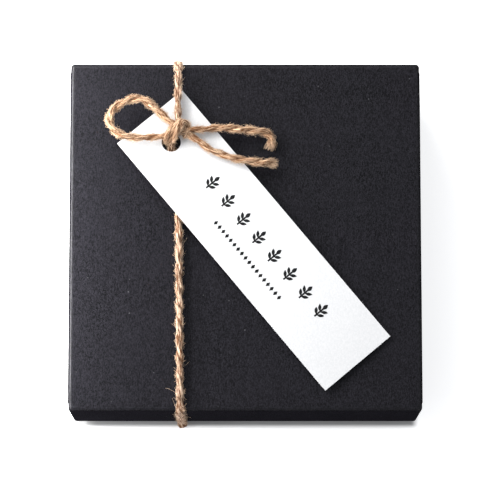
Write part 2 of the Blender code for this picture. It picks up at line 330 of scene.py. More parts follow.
def fold_wear_group():
    """Where covering paper is rubbed: a thin uneven line along the folds of a box-shaped cover."""
    tree, given, end = group(
        "fold wear",
        "ShaderNodeTree",
        [("Place", "NodeSocketVector", None), ("Half X", "NodeSocketFloat", LID_HALF_X),
         ("Half Y", "NodeSocketFloat", LID_HALF_Y), ("Top", "NodeSocketFloat", LID_TOP)],
        [("Fold", "NodeSocketFloat"), ("Rubbed", "NodeSocketFloat")],
    )
    parts = add(tree, "ShaderNodeSeparateXYZ", {"Vector": given["Place"]}).outputs
    gap_x = calc(tree, "SUBTRACT", given["Half X"], calc(tree, "ABSOLUTE", parts["X"]))
    gap_y = calc(tree, "SUBTRACT", given["Half Y"], calc(tree, "ABSOLUTE", parts["Y"]))
    gap_z = calc(tree, "ABSOLUTE", calc(tree, "SUBTRACT", given["Top"], parts["Z"]))
    nearest = calc(tree, "MINIMUM", gap_x, gap_y)
    between = calc(tree, "MAXIMUM", gap_x, gap_y)
    second = calc(tree, "MINIMUM", calc(tree, "MAXIMUM", nearest, gap_z), between)
    line = ramp(tree, second, 0.8 * MM, 0.25 * MM)
    corner = ramp(tree, between, 5.0 * MM, 0.5 * MM)
    patches = ramp(tree, mottle(tree, given["Place"], 900.0, 4.0), 0.5, 0.7)
    rubbed = calc(tree, "MULTIPLY", patches, calc(tree, "ADD", 0.3, corner))
    feed(tree, end.inputs["Fold"], ramp(tree, second, 1.6 * MM, 0.9 * MM))
    feed(tree, end.inputs["Rubbed"], calc(tree, "MULTIPLY", line, rubbed))
    return tree


GRAIN = fibre_grain_group()
FLECKS = specks_group()
FOLD_WEAR = fold_wear_group()


# ---------------------------------------------------------------- materials


def new_material(name, **uniform):
    """A Principled material, with the values that are the same all over set on the shader."""
    material = bpy.data.materials.new(name)
    material.use_nodes = True
    shader = material.node_tree.nodes["Principled BSDF"]
    for socket, value in uniform.items():
        shader.inputs[socket.replace("_", " ")].default_value = value
    place = material.node_tree.nodes.new("ShaderNodeTexCoord").outputs["Object"]
    return material, material.node_tree, shader, place


def mix(tree, factor, a, b):
    node = tree.nodes.new("ShaderNodeMix")
    node.data_type = "RGBA"
    for name, value in (("Factor", factor), ("A", a), ("B", b)):
        feed(tree, socket_of(node.inputs, name), value)
    return socket_of(node.outputs, "Result")


def bump(tree, height, strength, depth):
    inputs = {"Height": height, "Strength": strength, "Distance": depth}
    return add(tree, "ShaderNodeBump", inputs).outputs[0]


def black_paper(name, half_x, half_y, top):
    """Matt black covering paper: bluish fibres, clouded tone, pale flecks, rubbed folds."""
    material, tree, shader, place = new_material(name, Specular_IOR_Level=0.0, Coat_Roughness=0.38)
    grain = place_group(tree, GRAIN, {"Place": place, "Grain Size": 0.30 * MM, "Run": 3.0})
    flecks = place_group(tree, FLECKS, {"Place": place, "Spacing": 4 * MM, "Fleck Size": 0.07})
    wear = place_group(tree, FOLD_WEAR, {"Place": place, "Half X": half_x, "Half Y": half_y, "Top": top})
    tone = mix(tree, grain["Fibres"], (0.0012, 0.0012, 0.0016, 1), (0.0182, 0.0173, 0.0218, 1))
    tone = mix(tree, calc(tree, "MULTIPLY", grain["Clouds"], 0.22), tone, (0.0130, 0.0123, 0.0160, 1))
    tone = mix(tree, calc(tree, "MULTIPLY", flecks["Mask"], 0.6), tone, (0.16, 0.16, 0.17, 1))
    tone = mix(tree, calc(tree, "MULTIPLY", wear["Rubbed"], 0.25), tone, (0.20, 0.19, 0.185, 1))
    feed(tree, shader.inputs["Base Color"], tone)
    rough = add(tree, "ShaderNodeMapRange", {"Value": grain["Fibres"], "To Min": 0.95, "To Max": 0.8})
    feed(tree, shader.inputs["Roughness"], rough.outputs["Result"])
    facing = add(tree, "ShaderNodeLayerWeight", {"Blend": 0.5}).outputs["Facing"]
    burnish = calc(tree, "ADD", 0.2, calc(tree, "MULTIPLY", wear["Fold"], 0.15))
    feed(tree, shader.inputs["Coat Weight"], calc(tree, "MULTIPLY", ramp(tree, facing, 0.45, 0.12), burnish))
    feed(tree, shader.inputs["Normal"], bump(tree, grain["Height"], 0.6, 0.10 * MM))
    return material


def grey_board():
    """Recycled board, its cut faces speckled with darker and lighter fibres."""
    material, tree, shader, place = new_material("grey_board", Roughness=0.95)
    grain = place_group(tree, GRAIN, {"Place": place, "Grain Size": 0.55 * MM, "Run": 1.6})
    flecks = place_group(tree, FLECKS, {"Place": place, "Spacing": 3.5 * MM, "Fleck Size": 0.09})
    tone = mix(tree, grain["Fibres"], (0.24, 0.23, 0.21, 1), (0.40, 0.385, 0.35, 1))
    tone = mix(tree, calc(tree, "MULTIPLY", flecks["Mask"], 0.7), tone, (0.09, 0.085, 0.08, 1))
    feed(tree, shader.inputs["Base Color"], tone)
    feed(tree, shader.inputs["Normal"], bump(tree, grain["Height"], 0.6, 0.15 * MM))
    return material


def kraft_tape():
    """Brown gummed paper tape, ribbed by the machine that made it."""
    material, tree, shader, place = new_material("kraft_tape", Roughness=0.7)
    grain = place_group(tree, GRAIN, {"Place": place, "Grain Size": 0.3 * MM, "Run": 5.0})
    ribs = add(tree, "ShaderNodeTexWave", {"Vector": place, "Scale": 300.0}, bands_direction="Z")
    tone = mix(tree, grain["Fibres"], (0.30, 0.18, 0.09, 1), (0.46, 0.30, 0.17, 1))
    feed(tree, shader.inputs["Base Color"], tone)
    height = calc(tree, "ADD", grain["Height"], calc(tree, "MULTIPLY", ribs.outputs["Color"], 0.3))
    feed(tree, shader.inputs["Normal"], bump(tree, height, 0.4, 0.05 * MM))
    return material


def white_card():
    """Smooth white card with the faintest fibre."""
    material, tree, shader, place = new_material("white_card", Roughness=0.55, Specular_IOR_Level=0.4)
    grain = place_group(tree, GRAIN, {"Place": place, "Grain Size": 0.5 * MM, "Run": 2.0})
    tone = mix(tree, grain["Fibres"], (0.60, 0.605, 0.61, 1), (0.66, 0.66, 0.665, 1))
    feed(tree, shader.inputs["Base Color"], tone)
    feed(tree, shader.inputs["Normal"], bump(tree, grain["Height"], 0.25, 0.03 * MM))
    return material


def printing_ink():
    """Black ink, a little uneven where the card's fibres show through."""
    material, tree, shader, place = new_material("printing_ink", Specular_IOR_Level=0.1)
    grain = place_group(tree, GRAIN, {"Place": place, "Grain Size": 0.25 * MM, "Run": 1.5})
    tone = mix(tree, grain["Fibres"], (0.006, 0.006, 0.006, 1), (0.016, 0.016, 0.017, 1))
    feed(tree, shader.inputs["Base Color"], tone)
    rough = add(tree, "ShaderNodeMapRange", {"Value": grain["Fibres"], "To Min": 0.6, "To Max": 0.45})
    feed(tree, shader.inputs["Roughness"], rough.outputs["Result"])
    return material


def jute():
    """Jute fibres: pale straw to brown in long streaks that follow each ply, with painted shade darkening
    them between plies.
    """
    material, tree, shader, _ = new_material("jute", Specular_IOR_Level=0.2, Roughness=0.9)
    lay = add(tree, "ShaderNodeAttribute", attribute_name="fibre_place").outputs["Vector"]
    depth = add(tree, "ShaderNodeAttribute", attribute_name="ply_depth").outputs["Fac"]
    warmth = add(tree, "ShaderNodeAttribute", attribute_name="warmth").outputs["Fac"]

    def streaks_of(across, along, detail=2.0):
        return mottle(tree, vector_calc(tree, "MULTIPLY", lay, (across, across, along)), detail=detail)

    bundles = streaks_of(3400, 330)
    fibres = streaks_of(7500, 700, 3.0)
    streaks = calc(tree, "MULTIPLY", calc(tree, "ADD", bundles, fibres), 0.5)
    # Warmth is set for each piece. The tie gets far less than the bow, though both are one length of twine,
    # so its paler, less orange tone is a painted highlight standing in for the strong light on the tie.
    pale = mix(tree, warmth, (0.80, 0.62, 0.48, 1), (0.95, 0.67, 0.43, 1))
    tone = mix(tree, ramp(tree, streaks, 0.475, 0.56), (0.115, 0.042, 0.014, 1), pale)
    patches = ramp(tree, streaks_of(1100, 140), 0.64, 0.36)
    brown = calc(tree, "MULTIPLY", patches, calc(tree, "ADD", 0.2, calc(tree, "MULTIPLY", warmth, 0.5)))
    tone = mix(tree, brown, tone, (0.30, 0.13, 0.05, 1))
    # Painted shade: the colour is darkened where the plies meet, in the grooves between them.
    painted_groove_shade = ramp(tree, depth, 0.84, 0.6)
    tone = mix(tree, calc(tree, "MULTIPLY", painted_groove_shade, 0.75), tone, (0.13, 0.062, 0.030, 1))
    loose = ramp(tree, depth, 1.5, 1.9)
    tone = mix(tree, calc(tree, "MULTIPLY", loose, 0.5), tone, (0.80, 0.61, 0.43, 1))
    feed(tree, shader.inputs["Base Color"], tone)
    feed(tree, shader.inputs["Normal"], bump(tree, streaks, 1.0, 0.35 * MM))
    return material


LID_PAPER = black_paper("black_paper_lid", LID_HALF_X, LID_HALF_Y, LID_TOP)
BASE_PAPER = black_paper("black_paper_base", base_high[0], base_high[1], base_high[2])
GREY_BOARD = grey_board()
KRAFT_TAPE = kraft_tape()
WHITE_CARD = white_card()
INK = printing_ink()
JUTE = jute()


# ---------------------------------------------------------------- making pieces


def piece_from(mesh, name, material):
    thing = bpy.data.objects.new(name, mesh)
    thing.data.materials.clear()
    thing.data.materials.append(material)
    bpy.context.collection.objects.link(thing)
    return thing


def settled(thing, name):
    """The object with its modifiers worked in, as a plain mesh object of this name."""
    bpy.context.view_layer.update()
    evaluated = thing.evaluated_get(bpy.context.evaluated_depsgraph_get())
    mesh = bpy.data.meshes.new_from_object(evaluated)
    mesh.transform(thing.matrix_world)
    mesh.name = name
    bpy.data.objects.remove(thing)
    made = bpy.data.objects.new(name, mesh)
    bpy.context.collection.objects.link(made)
    return made


def smooth_route(points, spacing):
    """Points about this far apart along a Catmull-Rom curve through the given points."""
    knots = [Vector(p) for p in points]
    ends = [2 * knots[0] - knots[1]] + knots + [2 * knots[-1] - knots[-2]]
    route = [knots[0]]
    for a, b, c, d in zip(ends, ends[1:], ends[2:], ends[3:]):
        steps = max(1, round((c - b).length / spacing))
        for i in range(1, steps + 1):
            t = i / steps
            bend = (2 * a - 5 * b + 4 * c - d) * t**2 + (3 * b - a - 3 * c + d) * t**3
            route.append((2 * b + (c - a) * t + bend) / 2)
    return route


def evenly(a, b, count):
    return [a + (b - a) * i / count for i in range(count + 1)]


# ---------------------------------------------------------------- twine


LOOSE_FIBRE = 2.0  # the ply depth that marks a fibre standing off the twine


def ply_outline(tree, sides, radius):
    circle = add(tree, "GeometryNodeCurvePrimitiveCircle", {"Resolution": sides, "Radius": radius})
    spot = add(tree, "GeometryNodeInputPosition").outputs[0]
    return store(tree, circle.outputs["Curve"], "round", "FLOAT_VECTOR", spot)


def store(tree, geometry, name, kind, value):
    node = add(tree, "GeometryNodeStoreNamedAttribute", data_type=kind, domain="POINT")
    for socket, given in (("Geometry", geometry), ("Name", name), ("Value", value)):
        feed(tree, socket_of(node.inputs, socket), given)
    return node.outputs[0]


def stored(tree, name, kind):
    node = add(tree, "GeometryNodeInputNamedAttribute", {"Name": name}, data_type=kind)
    return socket_of(node.outputs, "Attribute")


def random_between(tree, low, high, seed, kind="FLOAT"):
    node = add(tree, "FunctionNodeRandomValue", data_type=kind)
    for socket, value in (("Min", low), ("Max", high), ("Seed", seed)):
        feed(tree, socket_of(node.inputs, socket), value)
    return socket_of(node.outputs, "Value")


def stray_fibre(tree, bow, end_dip, thickness):
    """One fine fibre of unit length along X, arched by bow."""
    arc = add(
        tree, "GeometryNodeCurveQuadraticBezier",
        {"Resolution": 3, "Start": (0, 0, 0), "Middle": (0.55, 0.0, bow), "End": (1.0, 0.08, end_dip)},
    )
    outline = add(tree, "GeometryNodeCurvePrimitiveCircle", {"Resolution": 3, "Radius": thickness})
    tube = add(tree, "GeometryNodeCurveToMesh",
               {"Curve": arc.outputs[0], "Profile Curve": outline.outputs["Curve"], "Fill Caps": True})
    return tube.outputs[0]


def fibres_on(tree, mesh, fibre, density, selection, lead, lift, shortest, longest, seed):
    """Fibres that start on the mesh, leaving along the lay by lead and away from it by lift."""
    spread = add(tree, "GeometryNodeDistributePointsOnFaces",
                 {"Mesh": mesh, "Selection": selection, "Density": density, "Seed": seed})
    lay = stored(tree, "lay_direction", "FLOAT_VECTOR")
    sway = random_between(tree, (-0.5, -0.5, -0.5), (0.5, 0.5, 0.5), calc(tree, "ADD", seed, 1.0),
                          "FLOAT_VECTOR")
    along = vector_calc(tree, "SCALE", lay, scale=lead)
    away = vector_calc(tree, "SCALE", spread.outputs["Normal"], scale=lift)
    heading = vector_calc(tree, "ADD", vector_calc(tree, "ADD", along, away), sway)
    aimed = add(tree, "FunctionNodeAlignRotationToVector", {"Vector": heading}, axis="X")
    roll = random_between(tree, 0.0, 2 * pi, calc(tree, "ADD", seed, 2.0))
    turn = add(tree, "FunctionNodeEulerToRotation", {"Euler": vector_of(tree, roll)})
    turned = add(tree, "FunctionNodeRotateRotation",
                 {"Rotation": aimed.outputs[0], "Rotate By": turn.outputs[0]}, rotation_space="LOCAL")
    length = random_between(tree, shortest, longest, calc(tree, "ADD", seed, 3.0))
    copies = add(tree, "GeometryNodeInstanceOnPoints",
                 {"Points": spread.outputs["Points"], "Instance": fibre, "Rotation": turned.outputs[0],
                  "Scale": vector_of(tree, length, length, length)})
    real = add(tree, "GeometryNodeRealizeInstances", {"Geometry": copies.outputs[0]})
    return store(tree, real.outputs[0], "ply_depth", "FLOAT", LOOSE_FIBRE)


def twine_tree():
    """Turns a route into laid twine: plies wound round each other, with stray fibres."""
    tree, given, end = group(
        "laid twine",
        "GeometryNodeTree",
        [
            ("Geometry", "NodeSocketGeometry", None),
            ("Plies", "NodeSocketInt", 2),
            ("Ply Radius", "NodeSocketFloat", 0.80 * MM),
            ("Ply Offset", "NodeSocketFloat", 0.40 * MM),
            ("Lay Length", "NodeSocketFloat", 11.0 * MM),
            ("Fibre Twist", "NodeSocketFloat", 100.0),
            ("Ridge Height", "NodeSocketFloat", 0.42 * MM),
            ("Sides", "NodeSocketInt", 24),
            ("Step", "NodeSocketFloat", 0.32 * MM),
            ("Start Turn", "NodeSocketFloat", 0.0),
            ("Warmth", "NodeSocketFloat", 0.5),
            ("Nap Density", "NodeSocketFloat", 4.0e6),
            ("Stray Density", "NodeSocketFloat", 0.07e6),
            ("Longest Stray", "NodeSocketFloat", 2.2 * MM),
            ("Frayed End", "NodeSocketFloat", 0.0),
            ("Seed", "NodeSocketInt", 1),
            ("Material", "NodeSocketMaterial", None),
        ],
        [("Geometry", "NodeSocketGeometry")],
    )
    even = add(tree, "GeometryNodeResampleCurve", {"Curve": given["Geometry"], "Length": given["Step"]},
               mode="LENGTH")
    spot = add(tree, "GeometryNodeInputPosition").outputs[0]
    along = add(tree, "GeometryNodeSplineParameter").outputs["Length"]
    whole = add(tree, "GeometryNodeSplineLength").outputs["Length"]
    line = store(tree, even.outputs[0], "axis_place", "FLOAT_VECTOR", spot)
    line = store(tree, line, "along", "FLOAT", along)
    line = store(tree, line, "to_end", "FLOAT", calc(tree, "SUBTRACT", whole, along))
    plies = add(tree, "GeometryNodeDuplicateElements", {"Geometry": line, "Amount": given["Plies"]},
                domain="SPLINE")
    line = store(tree, plies.outputs["Geometry"], "ply", "FLOAT", plies.outputs["Duplicate Index"])
    ply = stored(tree, "ply", "FLOAT")
    done = stored(tree, "along", "FLOAT")
    turns = calc(tree, "ADD", calc(tree, "DIVIDE", done, given["Lay Length"]),
                 calc(tree, "DIVIDE", ply, given["Plies"]))
    angle = calc(tree, "ADD", calc(tree, "MULTIPLY", turns, -2 * pi), given["Start Turn"])
    uneven = vector_of(tree, calc(tree, "MULTIPLY", done, 260.0), calc(tree, "MULTIPLY", ply, 7.3),
                       given["Seed"])
    swell = calc(tree, "ADD", 0.65, calc(tree, "MULTIPLY", mottle(tree, uneven), 0.7))
    radius = add(tree, "GeometryNodeInputRadius").outputs[0]
    reach = calc(tree, "MULTIPLY", calc(tree, "MULTIPLY", radius, given["Ply Offset"]), swell)
    normal = add(tree, "GeometryNodeInputNormal").outputs[0]
    tangent = add(tree, "GeometryNodeInputTangent").outputs[0]
    side = vector_calc(tree, "CROSS_PRODUCT", tangent, normal)
    out = vector_calc(
        tree, "ADD",
        vector_calc(tree, "SCALE", normal, scale=calc(tree, "MULTIPLY", calc(tree, "COSINE", angle), reach)),
        vector_calc(tree, "SCALE", side, scale=calc(tree, "MULTIPLY", calc(tree, "SINE", angle), reach)),
    )
    wound = add(tree, "GeometryNodeSetPosition", {"Geometry": line, "Offset": out}).outputs[0]
    wound = store(tree, wound, "lay_direction", "FLOAT_VECTOR",
                  add(tree, "GeometryNodeInputTangent").outputs[0])
    wound = add(tree, "GeometryNodeSetCurveRadius",
                {"Curve": wound, "Radius": calc(tree, "MULTIPLY", radius, swell)}).outputs[0]
    wound = add(tree, "GeometryNodeSetCurveTilt",
                {"Curve": wound, "Tilt": calc(tree, "MULTIPLY", done, given["Fibre Twist"])}).outputs[0]
    outline = ply_outline(tree, given["Sides"], given["Ply Radius"])
    body = add(tree, "GeometryNodeCurveToMesh",
               {"Curve": wound, "Profile Curve": outline, "Fill Caps": True}).outputs[0]
    body = add(tree, "GeometryNodeSetShadeSmooth", {"Geometry": body}).outputs[0]
    turned = vector_calc(tree, "ADD", stored(tree, "round", "FLOAT_VECTOR"),
                         vector_of(tree, calc(tree, "MULTIPLY", ply, 0.01), 0.0, done))
    body = store(tree, body, "fibre_place", "FLOAT_VECTOR", turned)
    bundles = mottle(tree, vector_calc(tree, "MULTIPLY", turned, (2600, 2600, 380)), detail=3.0)
    rise = calc(tree, "MULTIPLY", calc(tree, "SUBTRACT", bundles, 0.55), given["Ridge Height"])
    outward = add(tree, "GeometryNodeInputNormal").outputs[0]
    body = add(tree, "GeometryNodeSetPosition",
               {"Geometry": body, "Offset": vector_calc(tree, "SCALE", outward, scale=rise)}).outputs[0]
    off_axis = vector_calc(tree, "DISTANCE", spot, stored(tree, "axis_place", "FLOAT_VECTOR"))
    full = calc(tree, "ADD", given["Ply Offset"], given["Ply Radius"])
    body = store(tree, body, "ply_depth", "FLOAT", calc(tree, "DIVIDE", off_axis, full))
    outer = calc(tree, "GREATER_THAN", stored(tree, "ply_depth", "FLOAT"), 0.8)
    seed = calc(tree, "MULTIPLY", given["Seed"], 10.0)
    nap, loose = given["Nap Density"], given["Stray Density"]
    strays = []
    for i, (bow, dip, thick, density, lead, lift, shortest, longest) in enumerate((
        (0.10, 0.10, 0.034, nap, 1.4, 0.55, 0.5 * MM, 1.3 * MM),
        (0.14, -0.1, 0.030, nap, -1.4, 0.6, 0.5 * MM, 1.3 * MM),
        (0.22, 0.1, 0.009, loose, 1.0, 0.6, 1.2 * MM, given["Longest Stray"]),
    )):
        strays.append(fibres_on(tree, body, stray_fibre(tree, bow, dip, thick), density, outer, lead, lift,
                                shortest, longest, calc(tree, "ADD", seed, 100.0 * i)))
    last = calc(tree, "LESS_THAN", stored(tree, "to_end", "FLOAT"), 1.6 * MM)
    brush = calc(tree, "MULTIPLY", last, given["Frayed End"])
    strays.append(fibres_on(tree, body, stray_fibre(tree, 0.10, 0.06, 0.022), 9.0e6, brush, 2.0, 0.25,
                            1.0 * MM, 2.3 * MM, calc(tree, "ADD", seed, 300.0)))
    joined = tree.nodes.new("GeometryNodeJoinGeometry")
    for part in [body] + strays:
        tree.links.new(part, joined.inputs[0])
    real = add(tree, "GeometryNodeRealizeInstances", {"Geometry": joined.outputs[0]})
    toned = store(tree, real.outputs[0], "warmth", "FLOAT", given["Warmth"])
    dressed = add(tree, "GeometryNodeSetMaterial", {"Geometry": toned, "Material": given["Material"]})
    feed(tree, end.inputs["Geometry"], dressed.outputs[0])
    return tree


TWINE = twine_tree()


def set_inputs(modifier, **values):
    """Sets a Geometry Nodes modifier's inputs by their sockets' names."""
    for socket in modifier.node_group.interface.items_tree:
        if socket.item_type == "SOCKET" and socket.in_out == "INPUT":
            key = socket.name.replace(" ", "_")
            if key in values:
                modifier[socket.identifier] = values[key]


def laid_twine(name, routes, **values):
    """Twine along one or more routes, each with its girth as a function of the share of its length."""
    curve = bpy.data.curves.new(name, "CURVE")
    curve.dimensions = "3D"
    for route, girths in routes:
        spline = curve.splines.new("POLY")
        spline.points.add(len(route) - 1)
        for i, (point, co) in enumerate(zip(spline.points, route)):
            point.co = (*co, 1.0)
            point.radius = girths(i / (len(route) - 1))
    thing = bpy.data.objects.new(name + "_route", curve)
    bpy.context.collection.objects.link(thing)
    modifier = thing.modifiers.new("laid twine", "NODES")
    modifier.node_group = TWINE
    set_inputs(modifier, Material=JUTE, **values)
    made = settled(thing, name)
    for attribute in ("axis_place", "along", "to_end", "ply", "round", "lay_direction"):
        found = made.data.attributes.get(attribute)
        if found:
            made.data.attributes.remove(found)
    return made


def places_of(mesh):
    """The mesh's vertex places, one row each."""
    places = np.empty(len(mesh.vertices) * 3)
    mesh.vertices.foreach_get("co", places)
    return places.reshape(-1, 3)


def set_places(mesh, places):
    mesh.vertices.foreach_set("co", places.ravel())


def keep_above(mesh, route, reach):
    """Lifts whatever hangs further than this below the route, as where the twine rests on the tag."""
    places = places_of(mesh)
    line = np.array(route)
    gaps = np.hypot(places[:, None, 0] - line[:, 0], places[:, None, 1] - line[:, 1])
    lowest = line[gaps.argmin(axis=1), 2] - reach
    places[:, 2] = np.maximum(places[:, 2], lowest)
    set_places(mesh, places)


def tie_x(y):
    """The tie runs straight back from the front edge to the knot, a little askew."""
    share = (y + LID_HALF_Y) / (TAG_HOLE_AT[1] + LID_HALF_Y)
    return TWINE_FRONT_X + (TWINE_X - TWINE_FRONT_X) * min(1, max(0, share))


def tag_under(x):
    return TAG_UNDER_AT_TWINE - (x - TWINE_X) * tan(TAG_TILT)


def on_tag(x):
    """Height of a strand's middle where it lies on the tag."""
    return tag_under(x) + TAG_THICK + 0.3 * MM + TWINE_R


def over_edge(side):
    """The tie's bend over the lid's front (-1) or back (1) edge, from the top down."""
    x = tie_x(side * LID_HALF_Y)
    turns = [i * pi / 8 for i in range(5)]
    return [(x, side * (BEND_Y + BEND * sin(a)), BEND_Z + BEND * cos(a)) for a in turns]


def down_side(side):
    """The tie down the front or back wall and in under the box."""
    x = tie_x(side * LID_HALF_Y)
    return [
        (x, side * DOWN_Y, 35.8 * MM),
        (x, side * DOWN_Y, 23.5 * MM),
        (x, side * DOWN_Y, 11.1 * MM),
        (x, side * DOWN_Y, 8.2 * MM),
        (x, side * 54.9 * MM, 5.5 * MM),
        (x, side * 53.0 * MM, 3.4 * MM),
        (x, side * 51.0 * MM, UNDER_Z),
    ]


def build_tie():
    """One length of twine round the box, from the knot over the back and up through the tag."""
    from_knot = [
        (TWINE_X, 0.0330, 0.0464),
        (TWINE_X, 0.0363, 0.0466),
        (TWINE_X, 0.0387, 0.0463),
        (TWINE_X, 0.0462, on_tag(TWINE_X)),
    ]
    to_knot = [
        (tie_x(-0.030), -0.030, STRAND_Z),
        (tie_x(-0.005), -0.005, STRAND_Z),
        (TWINE_X, 0.013, STRAND_Z),
        (TWINE_X - 0.001, 0.021, STRAND_Z),
        (TAG_HOLE_AT[0], 0.0268, STRAND_Z + 0.0003),
        (TAG_HOLE_AT[0], 0.0287, 0.0438),
        (TAG_HOLE_AT[0], 0.0290, 0.0453),
    ]
    points = (
        from_knot
        + over_edge(1) + down_side(1)
        + down_side(-1)[::-1] + over_edge(-1)[::-1]
        + to_knot
    )
    route = smooth_route(points, 2 * MM)
    # The tie's low Warmth paints it paler than the bow's twine: a painted highlight for its stronger light.
    tie = laid_twine("twine_tie", [(route, tie_girth)], Seed=3, Warmth=0.15,
                     Nap_Density=2.0e6, Longest_Stray=4.0 * MM)
    press_on_walls(tie.data)
    press_flat(tie.data)
    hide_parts("twine_back_strand", "twine_front_strand", "twine_back_drop", "twine_front_drop",
                "twine_under_run")
    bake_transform(tie)


def press_on_walls(mesh):
    """Beds the tie on the lid's front and back edges and walls, where it is pulled tight."""
    places = places_of(mesh)
    side = np.sign(places[:, 1])
    out = np.abs(places[:, 1])
    near_y = np.minimum(out, LID_HALF_Y - FOLD)
    near_z = np.minimum(places[:, 2], LID_TOP - FOLD)
    away = np.hypot(out - near_y, places[:, 2] - near_z)
    proud = np.maximum(away - FOLD, 0)
    tight = np.clip((out - TIGHT_FROM) / TIGHT_OVER, 0, 1) * (away > FOLD)
    share = 1 - tight * (1 - PRESSED) * proud / np.maximum(away, FOLD)
    places[:, 1] = side * (near_y + (out - near_y) * share)
    places[:, 2] = near_z + (places[:, 2] - near_z) * share
    places[:, 0] += TIGHT_SPREAD * tight * (places[:, 0] - TIE_MIDDLE_X)
    set_places(mesh, places)


def press_flat(mesh):
    """Flattens the tie where the box stands on it."""
    places = places_of(mesh)
    under = np.clip((FLAT_FROM - np.abs(places[:, 1])) / FLAT_OVER, 0, 1)
    under *= places[:, 2] < FLAT_BELOW
    places[:, 0] += under * FLAT_SPREAD * (places[:, 0] - TIE_MIDDLE_X)
    pressed = UNDER_Z + np.clip(FLAT_SHARE * (places[:, 2] - UNDER_Z), -FLAT_HALF, FLAT_HALF)
    places[:, 2] += under * (pressed - places[:, 2])
    places[:, 2] = np.maximum(places[:, 2], CLEAR_OF_FLOOR)
    set_places(mesh, places)


def girth_by(*steps):
    """A girth that goes evenly between these (share of the length, girth) steps."""
    shares, girths = zip(*steps)
    return lambda share: float(np.interp(share, shares, girths))


# Drawn thin beside the knot, full where the twine lies loose, and opening at a cut end.
tie_girth = girth_by((0, 0.75), (0.06, 0.95), (0.5, 1.0), (0.70, 1.12), (0.76, 1.0), (0.95, 1.0), (1, 0.80))
loop_girth = girth_by((0, 0.62), (0.12, 0.72), (0.22, 1.02), (0.34, 1.18), (0.46, 1.12), (0.58, 0.92),
                      (0.68, 0.58), (0.76, 0.66), (0.88, 0.92), (0.96, 1.0), (1, 1.15))
tail_girth = girth_by((0, 0.55), (0.25, 0.58), (0.38, 0.72), (0.55, 1.05), (0.75, 1.18), (1, 1.15))


def millimetres(points):
    """The same points in metres."""
    return [(x * MM, y * MM, z * MM) for x, y, z in points]


def along_tag(points):
    """Points of (x, y, lift) in millimetres, each lifted from where a strand lies on the tag."""
    return [(x * MM, y * MM, on_tag(x * MM) + lift * MM) for x, y, lift in points]


def bow_cord(name, points, girth, stands_for, **values):
    """A free stretch of the bow's twine, which ends in a cut end."""
    route = smooth_route(points, 1.5 * MM)
    cord = laid_twine(name, [(route, girth)], Frayed_End=1.0, **values)
    keep_above(cord.data, route, TWINE_R)
    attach(cord, "lid")
    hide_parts(*stands_for)


def build_bow():
    """The slip bow: the loop that runs on as one tail, the other tail, and the knot's two wraps."""
    loop = millimetres([
        (-21.6, 31.0, 46.0), (-25.3, 30.5, 46.6), (-30.3, 30.0, 47.4), (-34.1, 29.9, 47.6),
        (-38.0, 30.5, 47.6), (-41.0, 32.3, 47.5), (-42.5, 35.4, 47.4), (-41.6, 38.4, 47.4),
        (-38.8, 40.7, 47.5), (-35.4, 42.1, 47.6), (-32.3, 42.1, 47.6), (-29.3, 40.4, 47.6),
        (-26.7, 37.9, 47.5), (-23.6, 35.2, 47.0), (-21.2, 33.7, 46.5), (-19.0, 32.2, 46.2),
        (-17.4, 31.0, 46.2),
    ])
    lower = along_tag([
        (-14.3, 29.0, 0.1), (-11.3, 26.7, 0.0), (-7.5, 25.1, 0.0), (-3.7, 23.8, 0.0), (0.1, 23.1, 0.0),
        (3.9, 22.6, 0.1), (8.4, 22.5, -0.6),
    ])
    bow_cord("bow_loop_and_tail", loop + lower, loop_girth, ("bow_loop", "bow_tail_lower"),
             Seed=5, Warmth=0.8, Start_Turn=1.0)

    upper = millimetres([(-23.2, 31.2, 46.2), (-20.5, 31.8, 46.4)]) + along_tag([
        (-17.5, 32.6, 0.8), (-13.2, 32.8, 0.2), (-9.4, 33.3, 0.1), (-5.6, 33.4, 0.0), (-1.9, 33.0, 0.0),
        (2.0, 32.8, -0.4), (5.8, 32.4, -1.0), (8.3, 30.9, -1.6), (8.1, 28.7, -2.1),
    ])
    bow_cord("bow_tail", upper, tail_girth, ("bow_tail_upper",), Seed=7, Warmth=0.9, Start_Turn=2.0)

    wraps = [
        [(-19.3, 31.0, 45.0), (-18.0, 32.0, 46.0), (-18.4, 34.0, 47.4), (-19.6, 34.9, 48.3),
         (-20.5, 33.4, 48.7), (-21.4, 31.4, 48.2), (-22.4, 29.9, 46.9), (-23.0, 29.2, 45.3),
         (-23.4, 28.9, 43.6)],
        [(-19.9, 35.2, 46.4), (-20.9, 34.6, 47.8), (-22.4, 33.0, 48.4), (-23.8, 31.2, 47.7),
         (-24.6, 29.9, 46.2), (-24.5, 29.2, 44.6), (-24.0, 29.0, 43.0)],
    ]
    routes = [(smooth_route(millimetres(wrap), 1 * MM), girth_by((0, 0.9), (1, 0.9))) for wrap in wraps]
    knot = laid_twine("twine_knot_wraps", routes, Seed=9, Warmth=0.7)
    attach(knot, "lid")
    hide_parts("twine_knot")


# ---------------------------------------------------------------- covering paper

CORNER_STEPS = 6
SIDE_STEPS = 24
SEAM_INSET = 1.6 * MM  # from the upright corner to the flap's cut edge
SEAM_STEP = 0.1 * MM
SEAM_PROUD = 0.16 * MM


